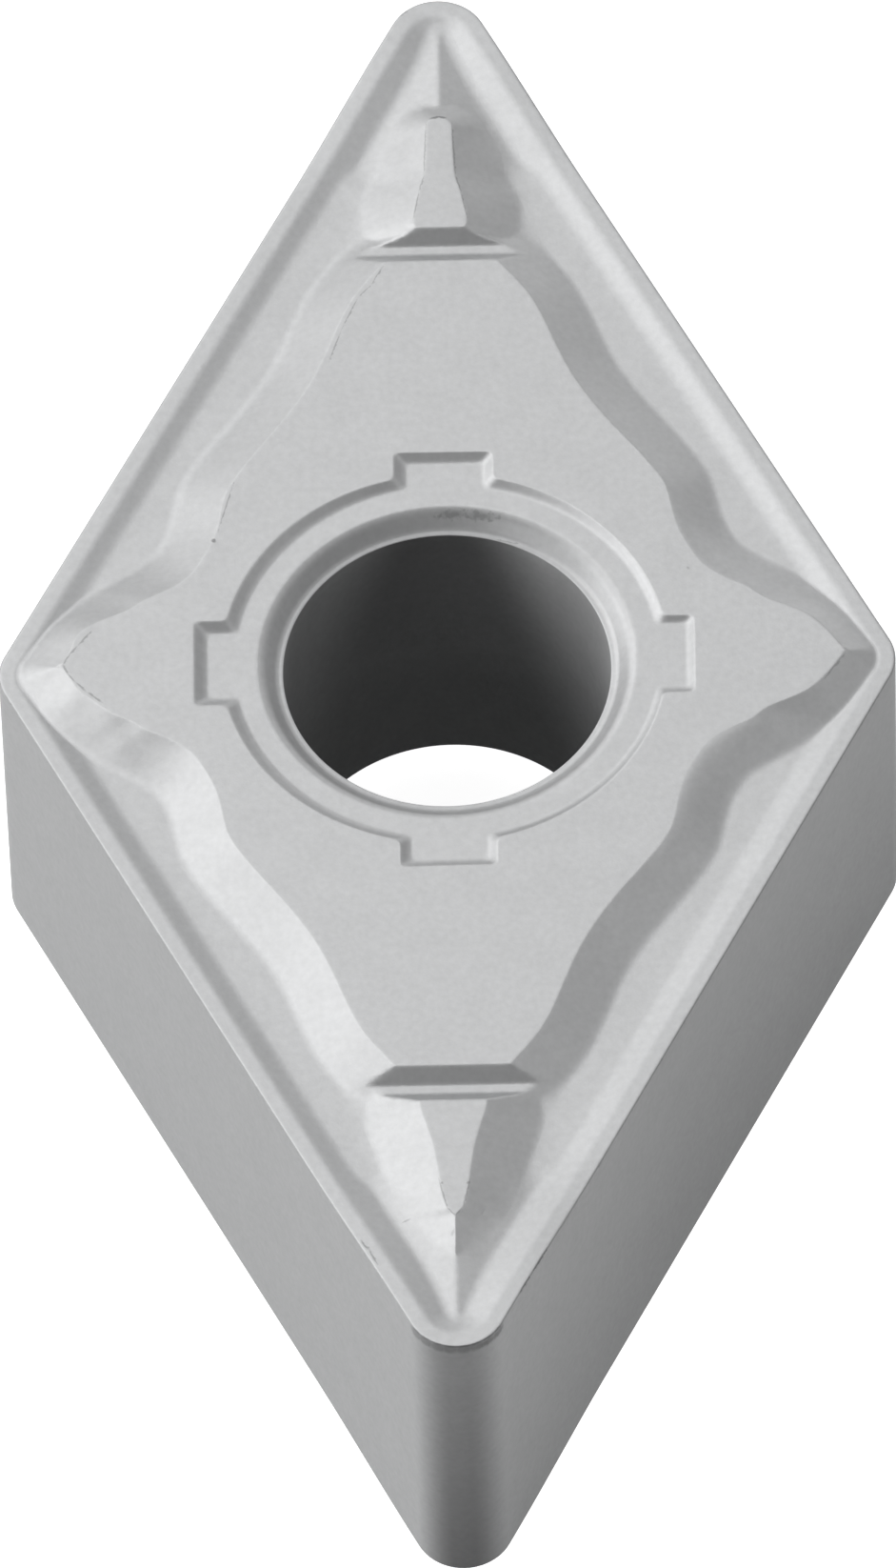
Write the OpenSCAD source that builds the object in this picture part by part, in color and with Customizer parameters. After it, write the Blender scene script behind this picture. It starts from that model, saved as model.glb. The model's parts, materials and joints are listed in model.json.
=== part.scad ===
// Double-sided rhombic cutting insert of sintered carbide, one solid.
// X runs along the short diagonal, Y along the long one, through the two cutting noses.
// Z is the axis of the clamping hole, and z = 0 is the seat that the part rests on.
// Both faces are alike: cutting edge, land, rake, groove, wavy wall and ground boss.

/* [Blank] */
// Diameter of the circle that touches the four flanks
inscribed_circle = 12.7; // [12:0.1:20]
// Angle between the flanks at each cutting nose, in degrees
point_angle = 55; // [50:1:65]
// Height from the seat on one face to the straight cutting edge of the other
thickness = 6.35; // [4:0.05:10]
// Radius of the four upright corners
corner_radius = 0.8; // [0.6:0.05:1]

/* [Clamping hole] */
// Diameter of the hole for the clamping pin
hole_d = 5.16; // [3:0.02:5.6]
// Width of the flat rim round each mouth of the hole
rim_w = 0.1; // [0.02:0.01:0.2]
// Width of the bevel outside that rim, seen from above
bevel_w = 0.23; // [0.1:0.01:0.4]
// Depth of that bevel
bevel_depth = 0.25; // [0.1:0.01:0.6]

/* [Recess round the hole] */
// Width of the flat ring between the bevel and the foot of the recess wall
ring_w = 0.465; // [0.1:0.01:0.7]
// Depth of the recess below the boss
recess_depth = 0.1; // [0.05:0.01:0.2]
// Angle of the recess walls from level, in degrees
recess_draft = 31; // [20:1:80]
// Width of each of the four tabs of the recess
tab_w = 1.6; // [0.6:0.05:3]
// How far a tab reaches out past the round part of the recess
tab_reach = 0.425; // [0.2:0.01:0.6]

/* [Cutting edge] */
// Width of the flat land behind the cutting edge
land_w = 0.28; // [0.1:0.01:0.3]
// Fall of the rake face behind the land, in degrees
rake_angle = 12.4; // [8:0.1:20]
// Depth of the flat-floored groove along the sides, below the cutting edge
groove_depth = 0.065; // [0.05:0.005:0.1]
// Greatest depth of the V-shaped groove beside the noses, below the cutting edge
nose_groove_depth = 0.12; // [0.1:0.005:0.15]
// Height by which the cutting edge climbs at each nose
nose_rise = 0.145; // [0:0.005:0.16]
// Distance from the pointed corner at which the climb starts
rise_start = 5; // [4:0.1:7]
// Distance from the pointed corner at which the climb is complete
rise_end = 1.8; // [1.5:0.1:3]

/* [Boss] */
// Height of the ground boss above the straight cutting edge
boss_rise = 0.222; // [0.18:0.002:0.3]
// Slope of the wavy wall up to the boss, in degrees
wall_angle = 21; // [19:0.5:30]
// Slope of that wall where it rounds the two blunt corners, in degrees
corner_wall_angle = 25; // [21:0.5:35]
// Slope of that wall beside each finger, in degrees
finger_wall_angle = 18.4; // [17:0.2:24]
// Slope of that wall at the tip of each finger, in degrees
finger_tip_angle = 16.8; // [14:0.2:18]
// Slope of the low ridge from the finger to the nose, in degrees
ridge_angle = 11.5; // [8:0.5:14]

/* [Foot of the wavy wall] */
// Distance from the cutting edge to the foot of the wall, at the tip of the nose
foot_tip = 0.52; // [0.45:0.01:0.6]
// The same distance beside the nose
foot_nose = 0.67; // [0.6:0.01:0.75]
// The same beside the tip of the finger
foot_neck = 0.92; // [0.85:0.01:1]
// The same at the hollow beside the notch
foot_hollow_1 = 1.25; // [1.1:0.01:1.4]
// The same at the first bulge of the boss
foot_bulge_1 = 1.14; // [0.95:0.01:1.25]
// The same at the middle hollow
foot_hollow_2 = 1.28; // [1.1:0.01:1.4]
// The same at the second bulge of the boss
foot_bulge_2 = 1.02; // [0.9:0.01:1.2]
// The same at the last hollow
foot_hollow_3 = 1.26; // [1.1:0.01:1.4]
// The same at the blunt corner, where the rake face ends before that level
foot_corner = 0.2; // [0.18:0.01:0.35]

/* [Notch across the boss] */
// Distance from the nose to the middle of the notch
notch_from_nose = 4.835; // [4.5:0.05:5.4]
// Width of the flat floor of the notch
notch_floor_w = 0.18; // [0.05:0.01:0.4]
// Depth of the notch below the boss
notch_depth = 0.19; // [0.05:0.01:0.2]
// Angle of the two notch walls from level, in degrees
notch_draft = 40; // [25:1:80]

/* [Hidden] */

$fn = 96;

// The rhombus: half angle at the nose, side, half diagonals.
half_angle = point_angle / 2;
side = inscribed_circle / sin(point_angle);
nose_y = side * cos(half_angle);
blunt_x = side * sin(half_angle);
// Middles of the corner rounds, and where each round meets the straight side.
nose_round_y = nose_y - corner_radius / sin(half_angle);
blunt_round_x = blunt_x - corner_radius / cos(half_angle);
s_nose = corner_radius / tan(half_angle);
s_blunt = side - corner_radius * tan(half_angle);

// Heights: the mid plane, and the boss above it.
boss_half = thickness / 2 + boss_rise / 2;
total_height = 2 * boss_half;
edge_half = boss_half - boss_rise;

// The cutter stands this far outside the flanks and above the boss.
spill = 0.6;
above = 0.08;
top_z = boss_rise + above;

function mix(a, b, u) = a + (b - a) * u;
function unit(u) = max(0, min(1, u));
function ease(u) = unit(u) * unit(u) * (3 - 2 * unit(u));

// Foot of the wavy wall, at the level of the groove floor: place as a share of the
// side from the pointed corner, and distance straight in from the cutting edge.
foot_knots = [
    [s_nose / side, foot_nose],
    [0.129, mix(foot_nose, foot_neck, 2 / 3)],
    [0.161, foot_neck],
    [0.225, foot_neck],
    [0.258, mix(foot_neck, foot_hollow_1, 1 / 8)],
    [0.290, mix(foot_neck, foot_hollow_1, 1 / 2)],
    [0.353, foot_hollow_1],
    [0.436, foot_bulge_1],
    [0.550, foot_hollow_2],
    [0.697, foot_bulge_2],
    [0.788, foot_hollow_3],
    [0.858, mix(foot_corner, foot_hollow_3, 1 / 2)],
    [0.916, mix(foot_corner, foot_hollow_3, 1 / 8)],
    [s_blunt / side, foot_corner]
];

// Slope of the wavy wall in degrees, at the same kind of places.
slope_knots = [
    [s_nose / side, ridge_angle],
    [0.155, ridge_angle],
    [0.188, finger_tip_angle],
    [0.206, finger_wall_angle],
    [0.320, finger_wall_angle],
    [0.410, wall_angle],
    [0.870, wall_angle],
    [0.916, corner_wall_angle],
    [1, corner_wall_angle]
];

// The V-shaped groove ends, and the flat floor is complete, at these shares.
v_end_at = 0.245;
floor_at = 0.268;

// Slope of the curve through the knots, at knot i.
function knot_slope(k, i) =
    let(a = max(0, i - 1), b = min(len(k) - 1, i + 1))
    (k[b][1] - k[a][1]) / (k[b][0] - k[a][0]);

// The knot at or before x.
function knot_before(k, x, i = 0) =
    i >= len(k) - 2 || x < k[i + 1][0] ? i : knot_before(k, x, i + 1);

// Smooth curve through the knots.
function curve(k, x) =
    let(
        i = knot_before(k, x),
        w = k[i + 1][0] - k[i][0],
        u = unit((x - k[i][0]) / w),
        m0 = knot_slope(k, i) * w,
        m1 = knot_slope(k, i + 1) * w,
        d = k[i + 1][1] - k[i][1]
    )
    k[i][1] + u * m0 + u * u * (3 * d - 2 * m0 - m1) + u * u * u * (m0 + m1 - 2 * d);

// Each function below takes s, the distance along the side from the pointed corner,
// and t, the distance straight in from it. Heights are from the straight cutting edge.
function edge_z(s) = nose_rise * ease((rise_start - s) / (rise_start - rise_end));
function foot(s) = curve(foot_knots, s / side);
function depth(s) =
    let(u = (s / side - v_end_at) / (floor_at - v_end_at))
    mix(nose_groove_depth, groove_depth, ease(u));

// Rise of the wall for each millimetre straight in from the cutting edge.
function wall_rate(s) =
    let(step = 0.02, turn = (foot(s + step) - foot(s - step)) / (2 * step))
    tan(curve(slope_knots, s / side)) / sqrt(1 + turn * turn);

function rake_z(s, t) = edge_z(s) - min(depth(s), (t - land_w) * tan(rake_angle));
function wall_z(s, t, f) = edge_z(s) - groove_depth + (t - f) * wall_rate(s);

// Where the rake face reaches the floor of the groove.
function rake_end(s) = land_w + depth(s) / tan(rake_angle);

// Where a wall with its foot at f comes down: on the floor, or on the rake face.
function wall_start(s, f) =
    let(
        on_floor = f - (depth(s) - groove_depth) / wall_rate(s),
        on_rake = (land_w * tan(rake_angle) + groove_depth + f * wall_rate(s))
            / (tan(rake_angle) + wall_rate(s))
    )
    on_floor > rake_end(s) ? on_floor : on_rake;

// Distance from the side to either diagonal, and to the top of the wall.
function to_diagonal(s) = min(s * tan(half_angle), (side - s) / tan(half_angle));
function to_top(s) = foot(s) + (top_z + groove_depth - edge_z(s)) / wall_rate(s);

// Place along the side where the top of the wall meets a diagonal, by halving.
// The wall ends at the diagonal at s = a, and at its full height at s = b.
function tip_at(a, b, n = 30) =
    let(m = (a + b) / 2, inside = to_top(m) < to_diagonal(m))
    n == 0 ? m : inside ? tip_at(a, m, n - 1) : tip_at(m, b, n - 1);

// Shares of the side at which the wall is sure to have its full height.
finger_share = 0.3;
star_share = 0.9;
s_finger = tip_at(s_nose, side * finger_share);
s_star = tip_at(s_blunt, side * star_share);

// A point of the quarter at +X +Y: s along the side, t straight in from it.
function side_point(s, t, z) = [
    s * sin(half_angle) - t * cos(half_angle),
    nose_y - s * cos(half_angle) - t * sin(half_angle),
    z
];

// A point on a ray of a corner round: angle a from +X, t in from the flank.
function round_point(c, a, t, z) = [
    c[0] + (corner_radius - t) * cos(a),
    c[1] + (corner_radius - t) * sin(a),
    z
];

// The section from outside the flank to the ridge or the top of the wall.
// Each entry is the distance in from the cutting edge and the height.
function section(s, f, last) =
    let(start = wall_start(s, f), turn = min(rake_end(s), mix(land_w, start, 3 / 4)))
    [
        [-spill, top_z],
        [-spill, edge_z(s)],
        [land_w, edge_z(s)],
        [turn, rake_z(s, turn)],
        [start, rake_z(s, start)],
        [last, min(wall_z(s, last, f), top_z)]
    ];
corners = 6;

function side_section(s) =
    [for (p = section(s, foot(s), min(to_diagonal(s), to_top(s)))) side_point(s, p[0], p[1])];

// Blunt corner: from the X axis up to the straight side.
blunt_steps = 4;
blunt_rays = [
    for (i = [0 : blunt_steps - 1])
        let(a = half_angle * i / blunt_steps)
        [for (p = section(s_blunt, foot_corner, corner_radius))
            round_point([blunt_round_x, 0], a, p[0], p[1])]
];

// Nose: from the straight side round to the Y axis.
nose_steps = 8;
nose_rays = [
    for (i = [1 : nose_steps])
        let(
            u = i / nose_steps,
            a = mix(half_angle, 90, u),
            ray = section(s_nose, mix(foot_nose, foot_tip, ease(u)), corner_radius),
            ridge_z = wall_z(s_nose, corner_radius, foot_nose)
        )
        [for (k = [0 : corners - 1])
            round_point([0, nose_round_y], a, ray[k][0], k == corners - 1 ? ridge_z : ray[k][1])]
];

// Straight side, from the blunt corner to the nose, with both tips among the stations.
station_gap = 0.2;
function run(a, b) =
    let(n = ceil(abs(b - a) / station_gap))
    [for (i = [0 : n - 1]) mix(a, b, i / n)];
side_rays = [
    for (s = concat(run(s_blunt, s_star), run(s_star, s_finger), run(s_finger, s_nose), s_nose))
        side_section(s)
];

// Points are put on a fine grid, so that points that should meet are the same.
grid = 0.00001;
function snap(p) = [for (c = p) round(c / grid) * grid];
function same(a, b) = norm(a - b) < 5 * grid;

// All sections of the quarter, and the points above their inner ends.
rays = concat(blunt_rays, side_rays, nose_rays);
lids = [for (r = rays) [r[corners - 1][0], r[corners - 1][1], top_z]];

// Two triangles for a four-cornered face, less any that has no area.
function quad(v, a, b, c, d) = [
    for (f = [[a, c, b], [a, d, c]])
        if (!same(v[f[0]], v[f[1]]) && !same(v[f[1]], v[f[2]]) && !same(v[f[2]], v[f[0]])) f
];

// Air above one quarter of a face, down to the groove and the land.
module quarter_cut() {
    v = concat([for (r = rays) for (p = r) snap(p)], [for (p = lids) snap(p)]);
    last = len(rays) - 1;
    at = function(i, k) i * corners + k;
    lid = function(i) len(rays) * corners + i;
    under = [for (i = [0 : last - 1], k = [0 : corners - 2])
        each quad(v, at(i, k), at(i, k + 1), at(i + 1, k + 1), at(i + 1, k))];
    over = [for (i = [0 : last - 1])
        each quad(v, at(i, 0), at(i + 1, 0), lid(i + 1), lid(i))];
    inner = [for (i = [0 : last - 1])
        each quad(v, at(i, corners - 1), lid(i), lid(i + 1), at(i + 1, corners - 1))];
    ends = [for (k = [0 : corners - 2])
        each [[lid(0), at(0, k), at(0, k + 1)], [lid(last), at(last, k + 1), at(last, k)]]];
    polyhedron(v, concat(under, over, inner, ends));
}

// The groove, rake and walls of one face, for the face at the top of the blank.
module chip_groove() {
    for (x = [0, 1], y = [0, 1])
        mirror([x, 0, 0]) mirror([0, y, 0]) quarter_cut();
}

// Outline of the blank: straight flanks with tangent corner rounds.
module outline() {
    far_x = blunt_round_x + corner_radius * cos(half_angle);
    far_y = corner_radius * sin(half_angle);
    top_x = corner_radius * cos(half_angle);
    top_y = nose_round_y + corner_radius * sin(half_angle);
    polygon([
        [far_x, far_y], [top_x, top_y], [-top_x, top_y], [-far_x, far_y],
        [-far_x, -far_y], [-top_x, -top_y], [top_x, -top_y], [far_x, -far_y]
    ]);
    for (m = [-1, 1]) {
        translate([m * blunt_round_x, 0]) circle(r = corner_radius);
        translate([0, m * nose_round_y]) circle(r = corner_radius);
    }
}

// A bar with sloping sides, cut down from the boss plane: half width at the boss,
// depth, angle of the sides, half length.
module sunk_bar(half_w, deep, draft, half_l) {
    out = above / tan(draft);
    in = deep / tan(draft);
    rotate([90, 0, 90]) linear_extrude(2 * half_l, center = true)
        polygon([
            [-half_w - out, above], [-half_w + in, -deep],
            [half_w - in, -deep], [half_w + out, above]
        ]);
}

rim_r = hole_d / 2 + rim_w;
bevel_r = rim_r + bevel_w;
ring_r = bevel_r + ring_w;
recess_r = ring_r + recess_depth / tan(recess_draft);
tab_end = recess_r + tab_reach;

// A recess bar is bounded by sloping walls on all four sides.
module tab_bar() {
    intersection() {
        sunk_bar(tab_w / 2, recess_depth, recess_draft, tab_end + spill);
        rotate([0, 0, 90]) sunk_bar(tab_end, recess_depth, recess_draft, tab_w);
    }
}

// Recess round the hole, with four tabs, and the bevel down to the flat rim.
module mouth() {
    slope = 1 / tan(recess_draft);
    translate([0, 0, -recess_depth])
        cylinder(
            h = recess_depth + above,
            r1 = ring_r,
            r2 = recess_r + above * slope
        );
    tab_bar();
    rotate([0, 0, 90]) tab_bar();
    translate([0, 0, -recess_depth - bevel_depth])
        cylinder(h = bevel_depth, r1 = rim_r, r2 = bevel_r);
}

// Notches that part each finger from the boss.
module notches() {
    nose_tip = nose_round_y + corner_radius;
    middle = nose_tip - notch_from_nose;
    half_w = notch_floor_w / 2 + notch_depth / tan(notch_draft);
    for (m = [-1, 1])
        translate([0, m * middle, 0])
            sunk_bar(half_w, notch_depth, notch_draft, notch_from_nose / 2);
}

// All that is taken away from one face, for the face at the top of the blank.
module face_cuts() {
    translate([0, 0, edge_half]) chip_groove();
    translate([0, 0, boss_half]) {
        mouth();
        notches();
    }
}

module insert() {
    color([0.62, 0.63, 0.64])
        translate([0, 0, boss_half])
            difference() {
                translate([0, 0, -boss_half]) linear_extrude(total_height) outline();
                face_cuts();
                mirror([0, 0, 1]) face_cuts();
                cylinder(h = total_height + 2 * above, d = hole_d, center = true);
            }
}

insert();
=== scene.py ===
"""A rhombic cutting insert of sintered carbide, lying flat on a pale floor.

Sizes are in millimetres and angles in degrees until a mesh is written, in metres.
The top face is worked out as a relief: a height over the plan of one quarter.
In the plan, x is the distance from the long diagonal and y that from the short one.
"""
import json
import logging
import math
from abc import ABC, abstractmethod
from dataclasses import dataclass
from enum import Enum
from typing import Callable, NamedTuple, Sequence

import bmesh
import bpy
import numpy as np
from mathutils import Matrix, Vector
from mathutils.geometry import delaunay_2d_cdt


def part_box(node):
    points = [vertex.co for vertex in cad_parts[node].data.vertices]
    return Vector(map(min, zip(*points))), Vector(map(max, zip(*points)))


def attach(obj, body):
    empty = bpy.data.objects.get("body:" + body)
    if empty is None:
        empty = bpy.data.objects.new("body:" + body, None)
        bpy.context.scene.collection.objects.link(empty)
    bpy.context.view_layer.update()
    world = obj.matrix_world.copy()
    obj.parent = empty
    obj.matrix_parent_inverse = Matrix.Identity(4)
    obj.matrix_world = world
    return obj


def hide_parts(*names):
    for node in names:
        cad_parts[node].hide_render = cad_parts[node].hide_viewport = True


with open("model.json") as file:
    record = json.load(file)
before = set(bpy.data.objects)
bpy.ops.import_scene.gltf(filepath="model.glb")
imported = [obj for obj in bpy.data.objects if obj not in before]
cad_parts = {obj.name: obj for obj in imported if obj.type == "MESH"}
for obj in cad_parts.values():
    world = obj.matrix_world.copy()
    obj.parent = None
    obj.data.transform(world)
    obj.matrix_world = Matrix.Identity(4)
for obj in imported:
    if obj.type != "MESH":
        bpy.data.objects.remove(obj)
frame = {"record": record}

log = logging.getLogger("insert")
MM = 0.001
HALVINGS = 40
Array = np.ndarray
Inputs = dict[str | int, object]
Knots = tuple[tuple[float, float], ...]
Point = tuple[float, float, float]
Values = tuple[float, ...]
Reach = tuple[float, float]
Socket = bpy.types.NodeSocket
Sockets = bpy.types.bpy_prop_collection


class Zone(Enum):
    """How a stretch of surface was finished: its channel in the zone attribute."""

    MOUTH = 0
    FLANK = 1
    BORE = 2


ZONE_ATTRIBUTE = "zone"
NOSE_ATTRIBUTE = "round_nose"


def blend_max(a: Array, b: Array, width: float) -> Array:
    """Give the greater of two heights, rounded where they differ by less than a width."""
    overlap = np.maximum(width - np.abs(a - b), 0.0)
    return np.maximum(a, b) + overlap**2 / (4 * width)


def blend_min(a: Array, b: Array, width: float) -> Array:
    """Give the lesser of two heights, rounded where they differ by less than a width."""
    return -blend_max(-a, -b, width)


def ease(u: Array) -> Array:
    """Give a smooth step from 0 to 1."""
    u = np.clip(u, 0.0, 1.0)
    return u * u * (3 - 2 * u)


def mix(a: float, b: float, u: float) -> float:
    """Give the value a share u of the way from a to b."""
    return a + (b - a) * u


def between(a: Array, b: Array, count: int) -> list[Array]:
    """Give evenly spaced rows between two others, without those two."""
    return [mix(a, b, k / (count + 1)) for k in range(1, count + 1)]


def put(name: str, data: bpy.types.ID) -> bpy.types.Object:
    """Add an object that holds a mesh, a lamp or a camera to the scene.

    Args:
        name: Its name.
        data: The mesh, lamp or camera.

    Returns:
        The object.
    """
    item = bpy.data.objects.new(name, data)
    bpy.context.scene.collection.objects.link(item)
    return item


def through_knots(knots: Knots, x: Array) -> Array:
    """Evaluate a smooth curve through knots.

    Args:
        knots: Place and value of each knot, in order of place.
        x: Places at which the curve is wanted.

    Returns:
        The value of the curve at each place.
    """
    place, value = np.array(knots).T
    slope = np.gradient(value, place, edge_order=1)
    slope[1:-1] = (value[2:] - value[:-2]) / (place[2:] - place[:-2])
    i = np.clip(np.searchsorted(place, x, side="right") - 1, 0, len(place) - 2)
    w = place[i + 1] - place[i]
    u = np.clip((x - place[i]) / w, 0.0, 1.0)
    m0, m1 = slope[i] * w, slope[i + 1] * w
    d = value[i + 1] - value[i]
    return value[i] + u * m0 + u**2 * (3 * d - 2 * m0 - m1) + u**3 * (m0 + m1 - 2 * d)


def reach_within(inside: Callable[[Array], Array], low: Array, high: Array) -> Array:
    """Find by halving how far a test stays true along each of several rays.

    Args:
        inside: Says for one distance on each ray whether it lies inside.
        low: Distances that lie inside.
        high: Distances that lie outside.

    Returns:
        The distance at which each ray comes out.
    """
    for _ in range(HALVINGS):
        middle = (low + high) / 2
        held = inside(middle)
        low, high = np.where(held, middle, low), np.where(held, high, middle)
    return low


@dataclass
class Blank:
    """The rhombic blank, whose length and height come from the frame."""

    point_angle: float = 55.0
    corner_radius: float = 0.8
    boss_rise: float = 0.222
    edge_hone: float = 0.035

    def __post_init__(self) -> None:
        """Read the box of the insert and work out the rhombus."""
        low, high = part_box("insert")
        self.length = (high[1] - low[1]) / MM
        self.boss_half = (high[2] - low[2]) / MM / 2
        self.half = math.radians(self.point_angle / 2)
        r = self.corner_radius
        self.nose_round_y = self.length / 2 - r
        self.nose_y = self.nose_round_y + r / math.sin(self.half)
        self.side = self.nose_y / math.cos(self.half)
        self.blunt_round_x = self.side * math.sin(self.half) - r / math.cos(self.half)
        self.s_nose = r / math.tan(self.half)
        self.s_blunt = self.side - r * math.tan(self.half)

    def along(self, x: Array, y: Array) -> tuple[Array, Array, Array]:
        """Turn places of the plan into places along and in from the cutting edge.

        Args:
            x: Distance from the long diagonal.
            y: Distance from the short diagonal.

        Returns:
            Distance s along the side from its pointed corner, distance t straight in
            from the edge, and the share u of the way round the nose, 0 on the side.
        """
        sin, cos, r = math.sin(self.half), math.cos(self.half), self.corner_radius
        s = x * sin - (y - self.nose_y) * cos
        t = -x * cos - (y - self.nose_y) * sin
        nose, blunt = s < self.s_nose, s > self.s_blunt
        round_nose = r - np.hypot(x, y - self.nose_round_y)
        round_blunt = r - np.hypot(x - self.blunt_round_x, y)
        turn = np.arctan2(y - self.nose_round_y, x) - self.half
        u = np.where(nose, np.clip(turn / (math.pi / 2 - self.half), 0, 1), 0.0)
        t = np.where(nose, round_nose, np.where(blunt, round_blunt, t))
        return np.clip(s, self.s_nose, self.s_blunt), t, u


@dataclass(kw_only=True)
class Finger(ABC):
    """Finger of the boss that points at a nose, worked out from its outline.

    Each half width and each angle of the wall stands behind its place in y.
    """

    half_widths: Knots
    wall_angles: Knots
    boss_tip: float
    lean_step: float = 0.25
    tip_turn_at: float = 0.22
    foot: float = 8.0
    foot_blend: Reach = (7.75, 8.35)
    turn_steps: int = 13
    widest_gap: float = 2.0

    def past_side(self, x: Array, y: Array) -> Array:
        """Give the distance outside the long side of the finger.

        Args:
            x: Distance from the long diagonal.
            y: Distance from the short diagonal.

        Returns:
            The distance.
        """
        step = self.lean_step
        lean = (through_knots(self.half_widths, y + step)
                - through_knots(self.half_widths, y - step)) / (2 * step)
        return (x - through_knots(self.half_widths, y)) / np.sqrt(1 + lean**2)

    @abstractmethod
    def outside(self, x: Array, y: Array) -> Array:
        """Give the distance outside the outline, less than 0 on the finger."""

    def height(self, x: Array, y: Array) -> Array:
        """Give the height of the walls of the finger, from the boss."""
        slope = np.tan(np.radians(through_knots(self.wall_angles, y)))
        return -slope * self.outside(x, y)

    def share(self, y: Array) -> Array:
        """Give 0 beside the boss and 1 where the walls belong to the finger."""
        start, end = self.foot_blend
        return ease((y - start) / (end - start))

    def contour(self, gap: float, spacing: float) -> Array:
        """Trace the line that lies a given distance outside the outline.

        Args:
            gap: The distance.
            spacing: Distance between the points of the line.

        Returns:
            Points of the line, from the notch to the long diagonal.
        """
        turn_at = self.boss_tip - self.tip_turn_at
        y = np.arange(self.foot, turn_at, spacing)
        turn = np.radians(np.linspace(0, 90, self.turn_steps))
        from_y = np.concatenate([y, 0 * turn + turn_at])
        turn = np.concatenate([0 * y, turn])

        def inside(r: Array) -> Array:
            """Say whether the distance r on each ray is short of the line."""
            return self.outside(r * np.cos(turn), from_y + r * np.sin(turn)) < gap

        r = reach_within(inside, 0 * turn, 0 * turn + self.widest_gap)
        return np.stack([r * np.cos(turn), from_y + r * np.sin(turn)], 1)


@dataclass(kw_only=True)
class RoundFinger(Finger):
    """Finger whose tip is round, with a wall like part of a cone."""

    round_from: float

    def outside(self, x: Array, y: Array) -> Array:
        """Give the distance outside the outline, less than 0 on the finger.

        Args:
            x: Distance from the long diagonal.
            y: Distance from the short diagonal.

        Returns:
            The distance.
        """
        radius = through_knots(self.half_widths, np.array([self.round_from]))
        past_tip = np.hypot(x, y - self.round_from) - radius
        return np.where(y > self.round_from, past_tip, self.past_side(x, y))


@dataclass(kw_only=True)
class PointedFinger(Finger):
    """Finger that runs out in a sharp crest, which ends in a straight front."""

    front: float
    front_round: float
    front_steepness: float

    def outside(self, x: Array, y: Array) -> Array:
        """Give the distance outside the outline, less than 0 on the finger."""
        past_front = self.front_steepness * (y - self.front)
        return blend_max(self.past_side(x, y), past_front, self.front_round)


FAR_FINGER = RoundFinger(
    half_widths=((8.24, 0.32), (8.31, 0.385), (8.39, 0.42), (8.5, 0.425), (8.72, 0.40),
                 (9.02, 0.33), (9.32, 0.25), (9.62, 0.225), (9.92, 0.215), (10.26, 0.21),
                 (10.6, 0.21)),
    wall_angles=((8.3, 18.4), (9.6, 18.4), (10.2, 22.0)),
    boss_tip=10.47,
    round_from=10.26,
)
NEAR_FINGER = PointedFinger(
    half_widths=((8.3, 0.53), (8.45, 0.51), (8.75, 0.425), (9.11, 0.33), (9.5, 0.265),
                 (9.84, 0.222), (10.14, 0.18), (10.31, 0.12), (10.42, 0.02), (10.6, -0.05),
                 (10.8, -0.135), (11.0, -0.25), (11.2, -0.4)),
    wall_angles=((8.3, 18.4), (9.5, 18.4), (10.0, 21.0)),
    boss_tip=10.44,
    front=11.03,
    front_round=0.05,
    front_steepness=0.85,
)
NEAR_RIDGE_ANGLE = 7.6
NEAR_V_ROUND = 0.032


class Section(NamedTuple):
    """Wall of the chip groove in each section across the edge.

    The wall has a slope, a height where it would meet the edge, and the distances in
    from the edge of the end of the rake face and of the start and top of the wall.
    """

    rate: Array
    zero: Array
    turn: Array
    start: Array
    top: Array


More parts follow.
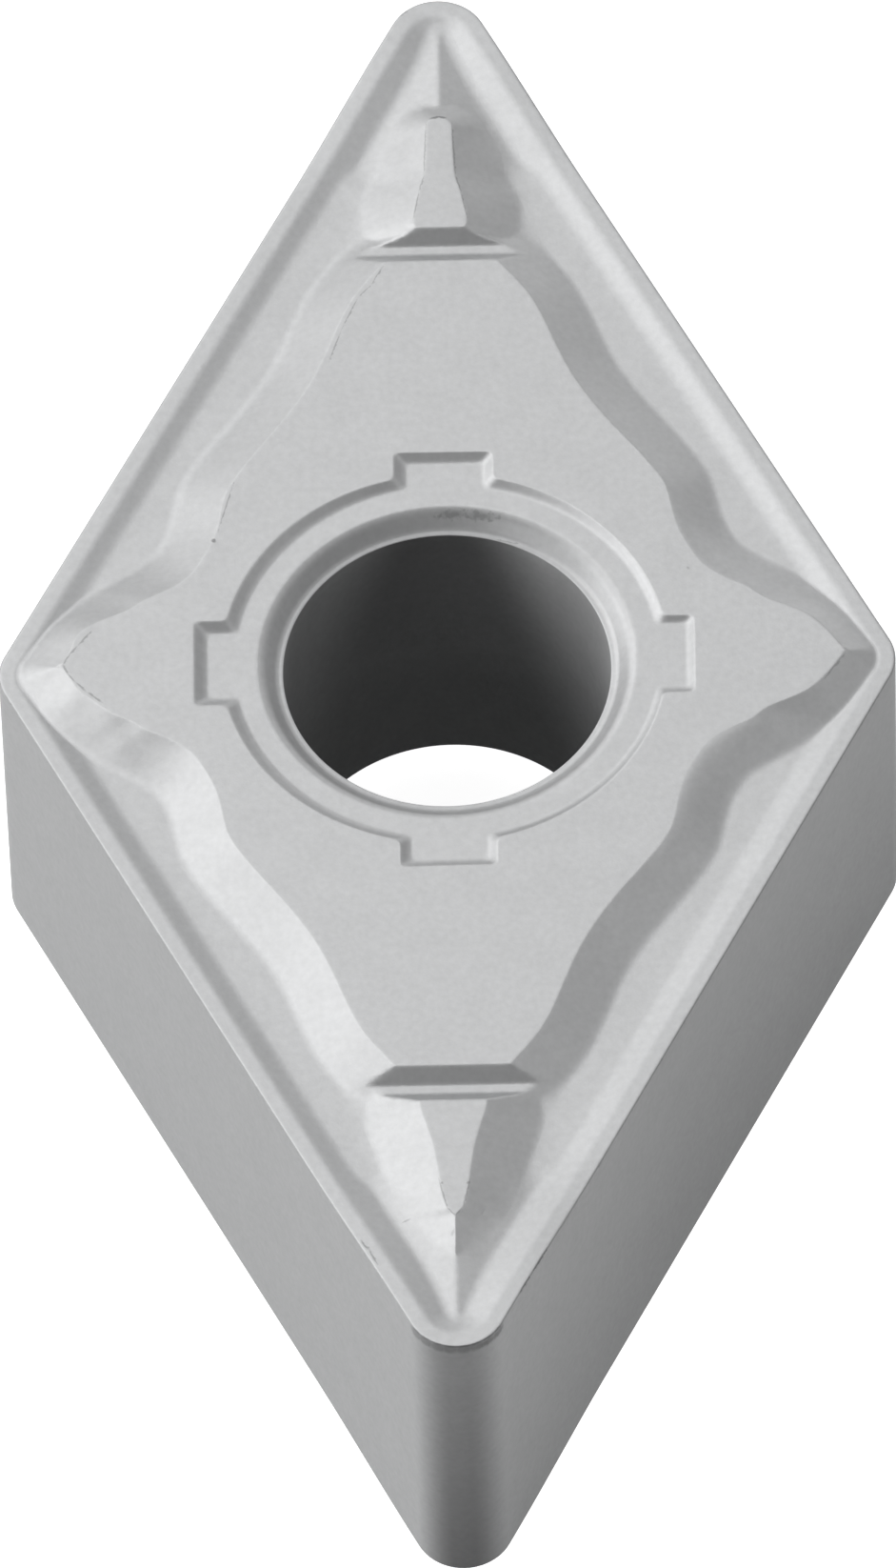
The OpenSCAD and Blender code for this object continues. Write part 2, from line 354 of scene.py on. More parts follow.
@dataclass
class ChipGroove:
    """Cutting edge, land, rake face, groove and wavy wall of one quarter.

    Places along the side are shares of it. Each place in foot_line stands with the
    distance of the foot of the wall from the edge, and in wall_angles with the slope.
    """

    blank: Blank
    finger: Finger
    land_w: float = 0.28
    rake_angle: float = 12.4
    rake_share: float = 0.75
    groove_depth: float = 0.065
    nose_groove_depth: float = 0.12
    nose_rise: float = 0.145
    rise_start: float = 5.0
    rise_end: float = 1.8
    foot_tip: float = 0.52
    foot_nose: float = 0.67
    foot_line: Knots = (
        (0.129, 0.8366667), (0.161, 0.92), (0.225, 0.92), (0.258, 0.96125), (0.290, 1.085),
        (0.353, 1.25), (0.436, 1.14), (0.550, 1.28), (0.697, 1.02), (0.788, 1.26),
        (0.858, 0.73), (0.916, 0.3325),
    )
    foot_corner: float = 0.2
    foot_step: float = 0.02
    ridge_angle: float = 8.5
    ridge_until: float = 0.155
    wall_angles: Knots = (
        (0.188, 16.8), (0.206, 18.4), (0.320, 18.4), (0.410, 21.0), (0.870, 21.0),
        (0.916, 25.0), (1.0, 25.0),
    )
    finger_until: float = 0.335
    v_end_at: float = 0.235
    floor_at: float = 0.3
    land_round: float = 0.06
    floor_round: float = 0.02
    wall_round: float = 0.032
    v_round: float = 0.045
    ridge_round: float = 0.01
    crest_round: float = 0.06
    boss_round: float = 0.006

    def __post_init__(self) -> None:
        """Complete the knots of the foot of the wall and of its slope."""
        nose = self.blank.s_nose / self.blank.side
        blunt = self.blank.s_blunt / self.blank.side
        self.tan_rake = math.tan(math.radians(self.rake_angle))
        self.tan_ridge = math.tan(math.radians(self.ridge_angle))
        self.foot_knots = ((nose, self.foot_nose), *self.foot_line, (blunt, self.foot_corner))
        self.slope_knots = ((nose, self.ridge_angle), (self.ridge_until, self.ridge_angle),
                            *self.wall_angles)

    def edge_z(self, s: Array) -> Array:
        """Give the height of the cutting edge, which climbs to the nose."""
        return self.nose_rise * ease((self.rise_start - s) / (self.rise_start - self.rise_end))

    def foot(self, s: Array) -> Array:
        """Give the distance of the foot of the wall from the cutting edge."""
        return through_knots(self.foot_knots, s / self.blank.side)

    def to_flat(self, s: Array) -> Array:
        """Give 0 where the groove is a V and 1 where it has a flat floor."""
        return ease((s / self.blank.side - self.v_end_at) / (self.floor_at - self.v_end_at))

    def depth(self, s: Array) -> Array:
        """Give the depth of the groove below the cutting edge."""
        return mix(self.nose_groove_depth, self.groove_depth, self.to_flat(s))

    def foot_lean(self, s: Array) -> Array:
        """Give the length of the foot of the wall for each millimetre of the side.

        Args:
            s: Distance along the side.

        Returns:
            The length.
        """
        step = self.foot_step
        turn = (self.foot(s + step) - self.foot(s - step)) / (2 * step)
        return np.sqrt(1 + turn**2)

    def wall_rate(self, s: Array) -> Array:
        """Give the rise of the wall for each millimetre straight in from the edge."""
        slope = np.radians(through_knots(self.slope_knots, s / self.blank.side))
        return np.tan(slope) / self.foot_lean(s)

    def lines(self, s: Array, u: Array) -> Section:
        """Work out the wall of each section and where its lines lie.

        Args:
            s: Distance along the side.
            u: Share of the way round the nose.

        Returns:
            The sections.
        """
        foot = np.where(u > 0, mix(self.foot_nose, self.foot_tip, ease(u)), self.foot(s))
        rate, depth, edge = self.wall_rate(s), self.depth(s), self.edge_z(s)
        on_floor = foot - (depth - self.groove_depth) / rate
        on_rake = (self.land_w * self.tan_rake + self.groove_depth + foot * rate) / (
            self.tan_rake + rate
        )
        rake_end = self.land_w + depth / self.tan_rake
        start = np.where(on_floor > rake_end, on_floor, on_rake)
        turn = np.minimum(rake_end, mix(self.land_w, start, self.rake_share))
        zero = edge - self.groove_depth - foot * rate
        r = self.blank.corner_radius
        ridge = edge - self.groove_depth + (r - self.foot_nose) * rate
        start_z = edge - np.minimum(depth, (start - self.land_w) * self.tan_rake)
        fan_rate = (ridge - start_z) / (r - start)
        rate = np.where(u > 0, fan_rate, rate)
        zero = np.where(u > 0, ridge - r * fan_rate, zero)
        top = (self.blank.boss_rise - zero) / rate
        return Section(rate, zero, turn, start, top)

    def ridge(self, x: Array, s: Array, t: Array) -> Array:
        """Give the height of the low ridge that runs from the finger to the nose.

        Args:
            x: Distance from the long diagonal, where the ridge has its round crest.
            s: Distance along the side.
            t: Distance straight in from the edge.

        Returns:
            Height above the straight cutting edge.
        """
        rate = self.tan_ridge / self.foot_lean(s)
        short = np.clip(self.crest_round - x, 0, self.crest_round)
        crest = rate * math.cos(self.blank.half) * short**2 / (2 * self.crest_round)
        return self.edge_z(s) - self.groove_depth + (t - self.foot(s)) * rate - crest

    def height(self, x: Array, y: Array) -> Array:
        """Give the height above the straight cutting edge, with no boss.

        Args:
            x: Distance from the long diagonal.
            y: Distance from the short diagonal.

        Returns:
            The height.
        """
        s, t, u = self.blank.along(x, y)
        section = self.lines(s, u)
        edge = self.edge_z(s)
        painted_fall = self.tan_rake * blend_max(0 * t, t - self.land_w, self.land_round)
        groove = edge + blend_max(-self.depth(s), -painted_fall, self.floor_round)
        wall = section.zero + t * section.rate
        finger = self.finger.height(x, y) + self.blank.boss_rise
        ridge = np.where(u > 0, wall, self.ridge(x, s, t))
        finger = blend_max(finger, ridge, self.ridge_round)
        wall = mix(wall, finger, self.finger.share(y))
        rounding = mix(self.v_round, self.wall_round, self.to_flat(s))
        return blend_max(groove, wall, rounding)


@dataclass
class HoleMouth:
    """Recess with four tabs round the hole, its bevel and its flat rim."""

    hole_r: float
    rim_w: float = 0.1
    bevel_w: float = 0.23
    bevel_depth: float = 0.25
    ring_w: float = 0.465
    recess_depth: float = 0.1
    recess_draft: float = 31.0
    tab_w: float = 1.6
    tab_reach: float = 0.425
    corner_round: float = 0.1
    bevel_round: float = 0.085
    rim_round: float = 0.035
    floor_round: float = 0.03
    top_round: float = 0.012
    rim_hone: float = 0.015
    trace_steps: int = 1801
    past_tab: float = 1.0

    def __post_init__(self) -> None:
        """Work out the radii of the mouth and the floor of the tabs."""
        self.draft = math.tan(math.radians(self.recess_draft))
        self.run = self.recess_depth / self.draft
        self.rim_r = self.hole_r + self.rim_w
        self.bevel_r = self.rim_r + self.bevel_w
        self.ring_r = self.bevel_r + self.ring_w
        self.tab_end = self.ring_r + self.run + self.tab_reach
        self.floor_half = self.tab_w / 2 - self.run
        self.floor_end = self.tab_end - self.run

    def outside(self, x: Array, y: Array) -> Array:
        """Give the distance outside the floor of the recess, less than 0 within it.

        Args:
            x: Distance from the long diagonal.
            y: Distance from the short diagonal.

        Returns:
            The distance.
        """
        gap = np.hypot(x, y) - self.ring_r
        for a, b in ((x, y), (y, x)):
            past_end = np.abs(a) - self.floor_end
            past_side = np.abs(b) - self.floor_half
            tab = blend_max(past_end, past_side, self.corner_round)
            gap = blend_min(gap, tab, self.corner_round)
        return gap

    def cut(self, x: Array, y: Array, base: Array) -> Array:
        """Sink the mouth into a surface.

        Args:
            x: Distance from the long diagonal.
            y: Distance from the short diagonal.
            base: Height of the surface, from the boss.

        Returns:
            Height with the recess, the bevel and the rim, from the boss.
        """
        rise = self.draft * self.outside(x, y)
        recess = blend_max(0 * rise, rise, self.floor_round) - self.recess_depth
        cut = blend_min(base, recess, self.top_round)
        r = np.hypot(x, y)
        slope = self.bevel_depth / self.bevel_w
        bevel = (r - self.bevel_r) * slope - self.recess_depth
        rim = 0 * r - self.recess_depth - self.bevel_depth
        cut = blend_min(cut, blend_max(rim, bevel, self.rim_round), self.bevel_round)
        short = np.clip(self.rim_hone - (r - self.hole_r), 0, self.rim_hone)
        return cut - self.rim_hone + np.sqrt(self.rim_hone**2 - short**2)

    def contour(self, gap: float, spacing: float) -> Array:
        """Trace the line that lies a given distance outside the recess floor.

        Args:
            gap: The distance.
            spacing: Distance between the points of the line.

        Returns:
            Points of the line, from the X axis to the Y axis.
        """
        angle = np.linspace(0, math.pi / 2, self.trace_steps)

        def inside(r: Array) -> Array:
            """Say whether the distance r on each ray is short of the line."""
            return self.outside(r * np.cos(angle), r * np.sin(angle)) < gap

        furthest = 0 * angle + self.tab_end + self.past_tab
        r = reach_within(inside, 0 * angle + self.bevel_r, furthest)
        x, y = r * np.cos(angle), r * np.sin(angle)
        run = np.concatenate([[0], np.cumsum(np.hypot(np.diff(x), np.diff(y)))])
        at = np.linspace(0, run[-1], round(run[-1] / spacing))
        return np.stack([np.interp(at, run, x), np.interp(at, run, y)], 1)


@dataclass
class Notch:
    """Notch that parts a finger from the boss."""

    blank: Blank
    from_nose: float = 4.835
    floor_w: float = 0.18
    depth: float = 0.19
    draft: float = 40.0
    floor_round: float = 0.03
    top_round: float = 0.03
    reach: float = 1.5

    def __post_init__(self) -> None:
        """Work out the middle and the slope of the notch."""
        self.middle = self.blank.length / 2 - self.from_nose
        self.slope = math.tan(math.radians(self.draft))
        self.half_top = self.floor_w / 2 + self.depth / self.slope

    def cut(self, y: Array, base: Array) -> Array:
        """Sink the notch into a surface whose height is given from the boss.

        Args:
            y: Distance from the short diagonal.
            base: Height of the surface, from the boss.

        Returns:
            Height with the notch, from the boss.
        """
        rise = self.slope * (np.abs(y - self.middle) - self.floor_w / 2)
        notch = blend_max(0 * y, rise, self.floor_round) - self.depth
        return blend_min(base, notch, self.top_round)


@dataclass(frozen=True)
class PointRows:
    """Where the rows of points lie on the face.

    Rows over a hone are degrees of its arc, and rows over a round are multiples of its
    half width, 0 in the middle. Rows up the recess wall are shares of it, and those on
    the edge and the finger wall are distances. The clear distances part the rows over
    a round from the ones in between, and a gap is the distance from point to point.
    """

    hone: Values = (0, 18, 36, 54, 72, 90)
    edge: Values = (0.065, 0.15)
    groove_round: Values = (-1.3, -1, -0.5, 0, 0.5, 1, 1.3)
    turn_half: float = 0.07
    foot_half: float = 0.09
    top_half: float = 0.017
    land_clear: float = 0.08
    turn_clear: Reach = (0.09, 0.07)
    foot_clear: float = 0.12
    top_clear: float = 0.05
    wall_top: Values = (-3, -1, 0, 1, 3)
    hole_hone: Values = (0, 30, 60, 90)
    rim_round: Values = (-1.5, -1, 0, 1, 1.5)
    bevel_round: Values = (-1, -0.5, 0, 0.5, 1, 1.5)
    recess_foot: Values = (-1.4, -1, -0.5, 0, 0.5, 1, 1.4)
    recess_wall: Values = (0.55, 0.7, 0.82)
    recess_top: Values = (-1, 0, 1, 2.5)
    notch_foot: Values = (-1.4, -1, 0, 1, 1.4)
    notch_top: Values = (-2, -1, 0, 1, 2.5)
    crest: Values = (0.25, 0.5, 0.75, 1, 1.3)
    finger_wall: Values = (-0.05, -0.017, 0, 0.017, 0.05, 0.15, 0.3)
    hole_points: int = 61
    recess_gap: float = 0.06
    notch_gap: float = 0.06
    finger_gap: float = 0.08
    crest_start: float = 0.05
    border_gap: float = 0.1
    station_gap: float = 0.085
    fill_gap: float = 0.24
    fill_start: float = 0.1


@dataclass
class FaceQuarter:
    """One quarter of a face, with half the height of its flank and of the hole wall.

    Points within flank_finish_edge of the outline, over the outer part of the edge hone,
    have the finish of the flanks, whose darker colour there is painted shade that dims
    the highlight of the hone. Those within bore_edge of the hole wall have the finish of
    the hole, and those as far as mouth_edge past the bevel that of the mouth.
    hole_half_step is just over half the angle from point to point round the hole.
    """

    name: str
    blank: Blank
    groove: ChipGroove
    mouth: HoleMouth
    notch: Notch
    at: PointRows = PointRows()
    nose_steps: int = 12
    blunt_steps: int = 8
    corner_reach: float = 0.94
    past_axis: float = 0.2
    hole_half_step: float = 0.8
    merge_gap: float = 0.0002
    rim_reach: float = 0.0001
    flank_levels: Values = (0.9, 0.6, 0.3, 0.0)
    level_within: float = 0.000001
    flank_finish_edge: float = 0.016
    bore_edge: float = 0.002
    mouth_edge: float = 0.05

    def height(self, x: Array, y: Array) -> Array:
        """Give the height of the finished face above the mid plane.

        Args:
            x: Distance from the long diagonal.
            y: Distance from the short diagonal.

        Returns:
            The height.
        """
        _, t, _ = self.blank.along(x, y)
        hone = self.blank.edge_hone
        base = self.groove.height(x, y) - self.blank.boss_rise
        base = self.notch.cut(y, base)
        base = blend_min(base, 0 * x, self.groove.boss_round)
        base = self.mouth.cut(x, y, base)
        short = np.clip(hone - t, 0, hone)
        return self.blank.boss_half + base - hone + np.sqrt(hone**2 - short**2)

    def stations(self) -> tuple[Array, ...]:
        """Lay out the sections along the edge, from the nose to the blunt corner.

        Returns:
            For each section, s and u, the point on the edge (x and y), the direction
            straight in (x and y), and how far in it may reach.
        """
        b = self.blank
        r = b.corner_radius
        nose_u = np.linspace(1, 0, self.nose_steps, endpoint=False)
        angle = mix(b.half, math.pi / 2, nose_u)
        nose = [nose_u * 0 + b.s_nose, nose_u, r * np.cos(angle),
                b.nose_round_y + r * np.sin(angle), -np.cos(angle), -np.sin(angle),
                nose_u * 0 + self.corner_reach * r]
        count = round((b.s_blunt - b.s_nose) / self.at.station_gap)
        s = np.linspace(b.s_nose, b.s_blunt, count)
        sin, cos, tan = math.sin(b.half), math.cos(b.half), math.tan(b.half)
        reach = np.minimum(s * tan, (b.side - s) / tan) + self.past_axis
        side = [s, s * 0, s * sin, b.nose_y - s * cos, s * 0 - cos, s * 0 - sin, reach]
        angle = b.half * np.linspace(1, 0, self.blunt_steps + 1)[1:]
        blunt = [angle * 0 + b.s_blunt, angle * 0, b.blunt_round_x + r * np.cos(angle),
                 r * np.sin(angle), -np.cos(angle), -np.sin(angle),
                 angle * 0 + self.corner_reach * r]
        return tuple(np.concatenate(parts) for parts in zip(nose, side, blunt))

    def rows(self, s: Array, u: Array) -> Array:
        """Work out how far in from the edge each row of points lies, at each section.

        Args:
            s: Distance along the side.
            u: Share of the way round the nose.

        Returns:
            Distances in from the edge, with a row for each line.
        """
        groove, at, hone = self.groove, self.at, self.blank.edge_hone
        line = groove.lines(s, u)
        one = np.ones_like(s)
        land = one * groove.land_w
        rows = [one * hone * (1 - math.cos(a)) for a in np.radians(at.hone)]
        rows += [one * t for t in at.edge]
        rows += [land + k * groove.land_round for k in at.groove_round]
        rows += between(land + at.land_clear, line.turn - at.turn_clear[0], 2)
        rows += [line.turn + k * at.turn_half for k in at.groove_round[1:-1]]
        rows += between(line.turn + at.turn_clear[1], line.start - at.foot_clear, 2)
        rows += [line.start + k * at.foot_half for k in at.groove_round]
        rows += between(line.start + at.foot_clear, line.top - at.top_clear, 3)
        top = np.where(s < groove.finger_until * self.blank.side, np.inf, line.top)
        rows += [top + k * at.top_half for k in at.wall_top]
        return np.sort(np.stack(rows), 0)

    def chip_lines(self) -> list[Array]:
        """Lay the rows of points along the cutting edge, groove and wall.

        Returns:
            The lines, each an array of points.
        """
        s, u, x, y, dx, dy, reach = self.stations()
        lines = []
        for t in self.rows(s, u):
            points = np.stack([x + t * dx, y + t * dy], 1)
            valid = t < reach
            for stretch in np.split(np.arange(len(s)), np.flatnonzero(np.diff(valid)) + 1):
                if valid[stretch[0]] and len(stretch) > 1:
                    lines.append(points[stretch])
        return lines

    def mouth_lines(self) -> list[Array]:
        """Lay the rows of points round the hole, its bevel and the recess.

        Returns:
            The lines, each an array of points.
        """
        m, at = self.mouth, self.at
        slope = m.bevel_depth / m.bevel_w
        radii = [m.hole_r + m.rim_hone * (1 - math.cos(a)) for a in np.radians(at.hole_hone)]
        radii += [m.rim_r + k * m.rim_round / slope for k in at.rim_round]
        radii += [m.bevel_r + k * m.bevel_round / slope for k in at.bevel_round]
        angle = np.linspace(0, math.pi / 2, at.hole_points)
        lines = [np.stack([r * np.cos(angle), r * np.sin(angle)], 1) for r in sorted(radii)]
        gaps = [k * m.floor_round / m.draft for k in at.recess_foot]
        gaps += [k * m.run for k in at.recess_wall]
        gaps += [m.run + k * m.top_round / m.draft for k in at.recess_top]
        return lines + [m.contour(gap, at.recess_gap) for gap in gaps]

    def notch_lines(self) -> list[Array]:
        """Lay the rows of points along the notch.

        Returns:
            The lines, each an array of points.
        """
        n, at = self.notch, self.at
        offsets = [n.floor_w / 2 + k * n.floor_round / n.slope for k in at.notch_foot]
        offsets += [n.half_top + k * n.top_round / n.slope for k in at.notch_top]
        offsets += [(n.floor_w / 2 + n.half_top) / 2]
        x = np.linspace(0, n.reach, round(n.reach / at.notch_gap))
        return [np.stack([x, 0 * x + n.middle + side * offset], 1)
                for offset in offsets for side in (-1, 1)]

    def finger_lines(self) -> list[Array]:
        """Lay the rows of points round the finger and beside the crest of the ridge.

        Returns:
            The lines, each an array of points.
        """
        finger, at = self.groove.finger, self.at
        y = np.arange(finger.boss_tip - at.crest_start, self.blank.nose_round_y, at.station_gap)
        lines = [np.stack([0 * y + k * self.groove.crest_round, y], 1) for k in at.crest]
        return lines + [finger.contour(gap, at.finger_gap) for gap in at.finger_wall]

    def border(self) -> list[Array]:
        """Lay the points along the two diagonals, from the hole to the corners.

        Returns:
            The lines, each an array of points.
        """
        start, gap = self.mouth.hole_r, self.at.border_gap
        along_y = np.arange(start, self.blank.length / 2, gap)
        along_x = np.arange(start, self.blank.blunt_round_x + self.blank.corner_radius, gap)
        return [np.stack([0 * along_y, along_y], 1), np.stack([along_x, 0 * along_x], 1)]

    def filling(self) -> Array:
        """Scatter points over the level parts of the face.

        Returns:
            The points.
        """
        gap, mouth, notch = self.at.fill_gap, self.mouth, self.notch
        across = np.arange(self.at.fill_start, self.blank.length / 2, gap)
        x, y = (a.ravel() for a in np.meshgrid(across, across))
        s, t, u = self.blank.along(x, y)
        on_boss = t > self.groove.lines(s, u).top + gap / 2
        clear = np.abs(y - notch.middle) > notch.half_top + gap / 3
        outside = mouth.outside(x, y)
        on_floor = (outside < -gap / 2) & (np.hypot(x, y) > mouth.bevel_r + gap / 2)
        chosen = on_boss & clear & (on_floor | (outside > mouth.run + gap / 3))
        return np.stack([x[chosen], y[chosen]], 1)

    def plan(self) -> tuple[Array, list[list[int]]]:
        """Triangulate the plan of the quarter along all its lines.

        Returns:
            Points of the plan and triangles of their numbers.
        """
        lines = self.border() + self.chip_lines() + self.mouth_lines()
        lines += self.notch_lines() + self.finger_lines()
        points = [Vector(p) for line in lines for p in line]
        points += [Vector(p) for p in self.filling()]
        links, start = [], 0
        for line in lines:
            links += [(start + i, start + i + 1) for i in range(len(line) - 1)]
            start += len(line)
        found, _, faces, *_ = delaunay_2d_cdt(points, links, [], 0, self.merge_gap, False)
        plan = np.array(found)
        plan[np.abs(plan) < self.merge_gap] = 0.0
        middle = plan[np.array(faces)].mean(1)
        _, t, _ = self.blank.along(middle[:, 0], middle[:, 1])
        hole = self.mouth.hole_r * math.cos(math.radians(self.hole_half_step))
        keep = (middle > 0).all(1) & (t > 0) & (np.hypot(*middle.T) > hole)
        return plan, [face for face, kept in zip(faces, keep) if kept]

    def zone_of(self, place: Vector) -> tuple[Point, float]:
        """Say what finish a point has.

        Args:
            place: The point, in millimetres from the mid plane.

        Returns:
            Its share in each zone, and how near it lies to the middle of a round nose.
        """
        _, t, u = self.blank.along(np.array([place.x]), np.array([place.y]))
        shares = [0.0, 0.0, 0.0]
        r = math.hypot(place.x, place.y)
        # Painted shade: the outer part of the hone takes the darker flank colour, which dims its
        # highlight.
        if t[0] < self.flank_finish_edge:
            shares[Zone.FLANK.value] = 1.0
        if r < self.mouth.hole_r + self.bore_edge:
            shares[Zone.BORE.value] = 1.0
        elif r < self.mouth.bevel_r + self.mouth_edge:
            shares[Zone.MOUTH.value] = 1.0
        return tuple(shares), float(u[0]) * shares[Zone.FLANK.value]

    def build(self) -> bpy.types.Object:
        """Make the quarter as an open mesh, in metres from the mid plane.

        Returns:
            The object that holds the quarter.
        """
        plan, faces = self.plan()
        heights = self.height(plan[:, 0], plan[:, 1])
        mesh = bmesh.new()
        used = sorted({i for face in faces for i in face})
        verts = {i: mesh.verts.new((plan[i][0], plan[i][1], heights[i])) for i in used}
        for face in faces:
            mesh.faces.new([verts[i] for i in face])
        reach = self.rim_reach
        self.drop(mesh, lambda v: self.blank.along(*np.array([v.co.xy]).T)[1][0] < reach)
        self.drop(mesh, lambda v: v.co.xy.length < self.mouth.hole_r + reach)
        mesh.verts.layers.float_vector.new(ZONE_ATTRIBUTE)
        mesh.verts.layers.float.new(NOSE_ATTRIBUTE)
        zone = mesh.verts.layers.float_vector[ZONE_ATTRIBUTE]
        nose = mesh.verts.layers.float[NOSE_ATTRIBUTE]
        for vert in mesh.verts:
            vert[zone], vert[nose] = self.zone_of(vert.co)
            vert.co *= MM
        data = bpy.data.meshes.new(self.name)
        mesh.to_mesh(data)
        mesh.free()
        return put(self.name, data)

    def drop(self, mesh: bmesh.types.BMesh, on_rim: Callable[[bmesh.types.BMVert], bool]) -> None:
        """Draw a rim of the quarter down to the mid plane.

        Args:
            mesh: The quarter.
            on_rim: Says whether a point belongs to the rim.
        """
        rim = [e for e in mesh.edges if e.is_boundary and all(on_rim(v) for v in e.verts)]
        start = min(v.co.z for e in rim for v in e.verts)
        for level in self.flank_levels:
            grown = bmesh.ops.extrude_edge_only(mesh, edges=rim)["geom"]
            rim = [g for g in grown if isinstance(g, bmesh.types.BMEdge) and g.is_boundary]
            for vert in {v for e in rim for v in e.verts}:
                vert.co.z = start * level
            rim = [e for e in rim
                   if abs(e.verts[0].co.z - e.verts[1].co.z) < self.level_within]


@dataclass(frozen=True)
class HandDifference:
    """A place where one corner of the real part differs from the others."""

    name: str
    middle: Point
    radius: float
    shift: Point


@dataclass(frozen=True)
class MouthLift:
    """How much higher the pressed recess and hole mouth lie than meant.

    The boss is ground flat afterwards, so the recess is shallower on one side. The
    lift fades out between two distances from the axis of the hole.
    """

    mean: float = 0.02
    along_x: float = 0.0062
    along_y: float = -0.0022
    fade: Reach = (4.5, 5.2)


class NodeTree:
    """Short ways to add nodes to a tree and to link them."""

    def __init__(self, tree: bpy.types.NodeTree) -> None:
        """Keep the tree that the nodes go into."""
        self.tree = tree

    def add(self, kind: str, settings: dict[str, object] | None = None,
            inputs: Inputs | None = None) -> bpy.types.Node:
        """Add a node.

        Args:
            kind: Its type name.
            settings: Its own properties.
            inputs: For an input's name or number, a value or the socket to link.

        Returns:
            The new node.
        """
        node = self.tree.nodes.new(kind)
        for key, value in (settings or {}).items():
            setattr(node, key, value)
        self.feed(node, inputs or {})
        return node

    def feed(self, node: bpy.types.Node, inputs: Inputs) -> None:
        """Give the inputs of a node their values, or link them where a value is a socket.

        Args:
            node: The node.
            inputs: For an input's name or number, its value or socket.
        """
        for key, value in inputs.items():
            if isinstance(value, Socket):
                self.tree.links.new(value, node.inputs[key])
            else:
                node.inputs[key].default_value = value

    def maths(self, operation: str, a: object, b: object = 0.0, c: object = 0.0,
              clamp: bool = False) -> Socket:
        """Add a Math node and give its output."""
        settings = {"operation": operation, "use_clamp": clamp}
        return self.add("ShaderNodeMath", settings, {0: a, 1: b, 2: c}).outputs[0]

    def vector(self, operation: str, *values: object) -> Socket:
        """Add a Vector Math node and give its vector."""
        settings = {"operation": operation}
        return self.add("ShaderNodeVectorMath", settings, dict(enumerate(values))).outputs[0]

    def length(self, vector: Socket) -> Socket:
        """Add a Vector Math node that measures a vector."""
        return self.add("ShaderNodeVectorMath", {"operation": "LENGTH"}, {0: vector}).outputs[1]

    def scaled(self, vector: object, factor: Socket) -> Socket:
        """Add a Vector Math node that scales a vector."""
        inputs = {0: vector, "Scale": factor}
        return self.add("ShaderNodeVectorMath", {"operation": "SCALE"}, inputs).outputs[0]

    def split(self, vector: Socket) -> Sockets:
        """Add a node that parts a vector into its three values."""
        return self.add("ShaderNodeSeparateXYZ", None, {0: vector}).outputs

    def noise(self, place: Socket, scale: float, detail: float) -> Sockets:
        """Add a noise texture and give its outputs."""
        inputs = {"Vector": place, "Scale": scale, "Detail": detail}
        return self.add("ShaderNodeTexNoise", None, inputs).outputs

    def ramp(self, value: Socket, reach: Reach, low: float = 0.0,
             high: float = 1.0, smooth: bool = False, unit: float = MM) -> Socket:
        """Add a Map Range node and give its output.

        Args:
            value: What the ramp follows.
            reach: Where it starts and where it ends.
            low: Output before the start.
            high: Output past the end.
            smooth: Whether it eases in and out.
            unit: Unit of the reach.

        Returns:
            The output.
        """
        settings = {"interpolation_type": "SMOOTHSTEP" if smooth else "LINEAR"}
        return self.add("ShaderNodeMapRange", settings, {
            "Value": value, "From Min": reach[0] * unit, "From Max": reach[1] * unit,
            "To Min": low, "To Max": high}).outputs[0]

    def geometry(self, kind: str, shape: Socket, inputs: Inputs | None = None) -> Socket:
        """Add a geometry node that changes a shape, and give the changed shape."""
        return self.add("GeometryNode" + kind, None, {0: shape, **(inputs or {})}).outputs[0]


